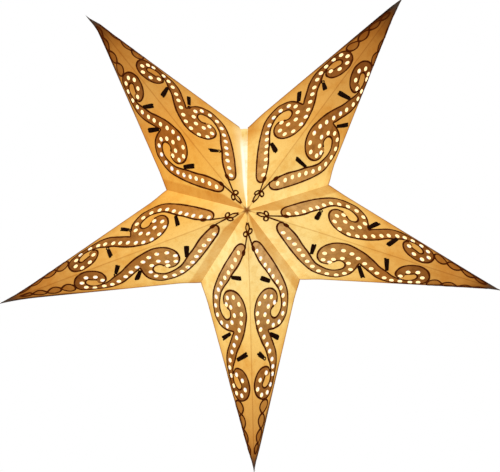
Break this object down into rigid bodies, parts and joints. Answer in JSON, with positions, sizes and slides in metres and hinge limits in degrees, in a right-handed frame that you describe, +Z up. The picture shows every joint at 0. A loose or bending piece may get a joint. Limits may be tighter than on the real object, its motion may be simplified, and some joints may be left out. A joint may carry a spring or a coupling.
{
  "type": "paper star lantern",
  "caption": "Hanging star lantern of folded, pierced paper arms round a small screw-cap lamp; it folds flat from its open top seam.",
  "frame": {"origin": "centre of the cable entry on the flat top of the lampholder cap, where the hanging cable would leave; the star's centre is 91.1 mm below it", "axes": "+Z up, +X to the right seen from the front, front face of the star towards -Y"},
  "size_m": [0.5628, 0.158, 0.5334],
  "materials": {
    "paper": "matt handmade paper, lit from inside",
    "tab_paper": "matt handmade paper, two layers",
    "holder_plastic": "satin",
    "insert_plastic": "matt moulding",
    "brass": "bright",
    "nickel": "nickel plate",
    "bulb_glass": "soft white, lit",
    "black_glass": "glossy",
    "filament": "drawn wire"
  },
  "bodies": {
    "lamp": {"holder_cap": "holder_plastic", "holder_shell": "holder_plastic", "contact_insert": "insert_plastic", "thread_shell": "brass", "centre_contact": "brass"},
    "bulb": {"bulb_glass": "bulb_glass", "bulb_screw_cap": "nickel", "bulb_insulator": "black_glass", "bulb_contact": "nickel", "bulb_stem": "bulb_glass", "bulb_filament": "filament"},
    "bottom_front_right": {"bottom_front_right": "paper", "glue_tab_right_front": "tab_paper"},
    "bottom_back_right": {"bottom_back_right": "paper", "glue_tab_right_back": "tab_paper"},
    "bottom_front_left": {"bottom_front_left": "paper"},
    "bottom_back_left": {"bottom_back_left": "paper"},
    "right_front_lower": {"right_front_lower": "paper"},
    "right_back_lower": {"right_back_lower": "paper"},
    "right_front_upper": {"right_front_upper": "paper", "glue_tab_upper_right_front": "tab_paper"},
    "right_back_upper": {"right_back_upper": "paper", "glue_tab_upper_right_back": "tab_paper"},
    "upper_right_front_lower": {"upper_right_front_lower": "paper"},
    "upper_right_back_lower": {"upper_right_back_lower": "paper"},
    "upper_right_front_upper": {"upper_right_front_upper": "paper"},
    "upper_right_back_upper": {"upper_right_back_upper": "paper"},
    "left_front_lower": {"left_front_lower": "paper", "glue_tab_bottom_front": "tab_paper"},
    "left_back_lower": {"left_back_lower": "paper", "glue_tab_bottom_back": "tab_paper"},
    "left_front_upper": {"left_front_upper": "paper"},
    "left_back_upper": {"left_back_upper": "paper"},
    "upper_left_front_lower": {"upper_left_front_lower": "paper", "glue_tab_left_front": "tab_paper"},
    "upper_left_back_lower": {"upper_left_back_lower": "paper", "glue_tab_left_back": "tab_paper"},
    "upper_left_front_upper": {"upper_left_front_upper": "paper", "seam_tab_front": "tab_paper"},
    "upper_left_back_upper": {"upper_left_back_upper": "paper", "seam_tab_back": "tab_paper"}
  },
  "joints": [
    {"name": "star_fold", "type": "hinge", "parent": "lamp", "child": "bottom_front_right", "pos_m": [0, -0.07946, -0.09095], "axis": [0, -0.2577, 0.9662], "range_deg": [0, 42]},
    {"name": "bottom_right_valley", "type": "hinge", "parent": "bottom_front_right", "child": "right_front_lower", "pos_m": [0, -0.08, -0.0911], "axis": [0.4539, 0.6285, -0.6316], "range_deg": [0, 117.7]},
    {"name": "right_ridge", "type": "hinge", "parent": "right_front_lower", "child": "right_front_upper", "pos_m": [-0.00014, -0.07946, -0.09105], "axis": [-0.9158, -0.2577, 0.3082], "range_deg": [0, 84.1]},
    {"name": "right_upper_right_valley", "type": "hinge", "parent": "right_front_upper", "child": "upper_right_front_lower", "pos_m": [0, -0.08, -0.0911], "axis": [0.7434, 0.6285, 0.2287], "range_deg": [0, 117.7]},
    {"name": "upper_right_ridge", "type": "hinge", "parent": "upper_right_front_lower", "child": "upper_right_front_upper", "pos_m": [-0.00009, -0.07946, -0.09121], "axis": [-0.5842, -0.2577, -0.7696], "range_deg": [0, 84.1]},
    {"name": "bottom_ridge", "type": "hinge", "parent": "lamp", "child": "bottom_front_left", "pos_m": [0, -0.07946, -0.09095], "axis": [0, 0.2577, -0.9662], "range_deg": [0, 42.1]},
    {"name": "bottom_left_valley", "type": "hinge", "parent": "bottom_front_left", "child": "left_front_lower", "pos_m": [0, -0.08, -0.0911], "axis": [0.4539, -0.6285, 0.6316], "range_deg": [0, 117.7]},
    {"name": "left_ridge", "type": "hinge", "parent": "left_front_lower", "child": "left_front_upper", "pos_m": [0.00014, -0.07946, -0.09105], "axis": [-0.9158, 0.2577, -0.3082], "range_deg": [0, 84.1]},
    {"name": "left_upper_left_valley", "type": "hinge", "parent": "left_front_upper", "child": "upper_left_front_lower", "pos_m": [0, -0.08, -0.0911], "axis": [0.7434, -0.6285, -0.2287], "range_deg": [0, 117.7]},
    {"name": "upper_left_ridge", "type": "hinge", "parent": "upper_left_front_lower", "child": "upper_left_front_upper", "pos_m": [0.00009, -0.07946, -0.09121], "axis": [-0.5842, 0.2577, 0.7696], "range_deg": [0, 84.1]},
    {"name": "bottom_edge_right", "type": "hinge", "parent": "bottom_front_right", "child": "bottom_back_right", "pos_m": [0.05777, 0, -0.17149], "axis": [-0.2544, 0, -0.9671], "range_deg": [0, 82.8]},
    {"name": "bottom_edge_left", "type": "hinge", "parent": "bottom_front_left", "child": "bottom_back_left", "pos_m": [-0.05777, 0, -0.17149], "axis": [-0.2544, 0, 0.9671], "range_deg": [0, 82.8]},
    {"name": "right_edge_upper", "type": "hinge", "parent": "right_front_upper", "child": "right_back_upper", "pos_m": [0.09462, 0, -0.06199], "axis": [0.8354, 0, -0.5496], "range_deg": [0, 82.8]},
    {"name": "right_edge_lower", "type": "hinge", "parent": "right_front_lower", "child": "right_back_lower", "pos_m": [0.05777, 0, -0.17149], "axis": [-0.9977, 0, 0.0673], "range_deg": [0, 82.8]},
    {"name": "upper_right_edge_upper", "type": "hinge", "parent": "upper_right_front_upper", "child": "upper_right_back_upper", "pos_m": [0.00259, 0, 0.00787], "axis": [0.7874, 0, 0.6165], "range_deg": [0, 82.8]},
    {"name": "upper_right_edge_lower", "type": "hinge", "parent": "upper_right_front_lower", "child": "upper_right_back_lower", "pos_m": [0.09462, 0, -0.06199], "axis": [-0.3821, 0, -0.9241], "range_deg": [0, 82.8]},
    {"name": "left_edge_lower", "type": "hinge", "parent": "left_front_lower", "child": "left_back_lower", "pos_m": [-0.05777, 0, -0.17149], "axis": [-0.9977, 0, -0.0673], "range_deg": [0, 82.8]},
    {"name": "left_edge_upper", "type": "hinge", "parent": "left_front_upper", "child": "left_back_upper", "pos_m": [-0.09462, 0, -0.06199], "axis": [0.8354, 0, 0.5496], "range_deg": [0, 82.8]},
    {"name": "upper_left_edge_lower", "type": "hinge", "parent": "upper_left_front_lower", "child": "upper_left_back_lower", "pos_m": [-0.09462, 0, -0.06199], "axis": [-0.3821, 0, 0.9241], "range_deg": [0, 82.8]},
    {"name": "upper_left_edge_upper", "type": "hinge", "parent": "upper_left_front_upper", "child": "upper_left_back_upper", "pos_m": [-0.00259, 0, 0.00787], "axis": [0.7874, 0, -0.6165], "range_deg": [0, 82.8]},
    {"name": "bulb_out", "type": "slide", "parent": "lamp", "child": "bulb", "axis": [0, 0, -1], "range_m": [0, 0.02]}
  ],
  "couplings": [
    {"joint": "bottom_ridge", "follows": "star_fold", "ratio": 1},
    {"joint": "bottom_right_valley", "follows": "star_fold", "ratio": 2.8},
    {"joint": "right_upper_right_valley", "follows": "star_fold", "ratio": 2.8},
    {"joint": "bottom_left_valley", "follows": "star_fold", "ratio": 2.8},
    {"joint": "left_upper_left_valley", "follows": "star_fold", "ratio": 2.8},
    {"joint": "right_ridge", "follows": "star_fold", "ratio": 2},
    {"joint": "upper_right_ridge", "follows": "star_fold", "ratio": 2},
    {"joint": "left_ridge", "follows": "star_fold", "ratio": 2},
    {"joint": "upper_left_ridge", "follows": "star_fold", "ratio": 2},
    {"joint": "bottom_edge_right", "follows": "star_fold", "ratio": 1.97},
    {"joint": "bottom_edge_left", "follows": "star_fold", "ratio": 1.97},
    {"joint": "right_edge_upper", "follows": "star_fold", "ratio": 1.97},
    {"joint": "right_edge_lower", "follows": "star_fold", "ratio": 1.97},
    {"joint": "upper_right_edge_upper", "follows": "star_fold", "ratio": 1.97},
    {"joint": "upper_right_edge_lower", "follows": "star_fold", "ratio": 1.97},
    {"joint": "left_edge_lower", "follows": "star_fold", "ratio": 1.97},
    {"joint": "left_edge_upper", "follows": "star_fold", "ratio": 1.97},
    {"joint": "upper_left_edge_lower", "follows": "star_fold", "ratio": 1.97},
    {"joint": "upper_left_edge_upper", "follows": "star_fold", "ratio": 1.97}
  ]
}
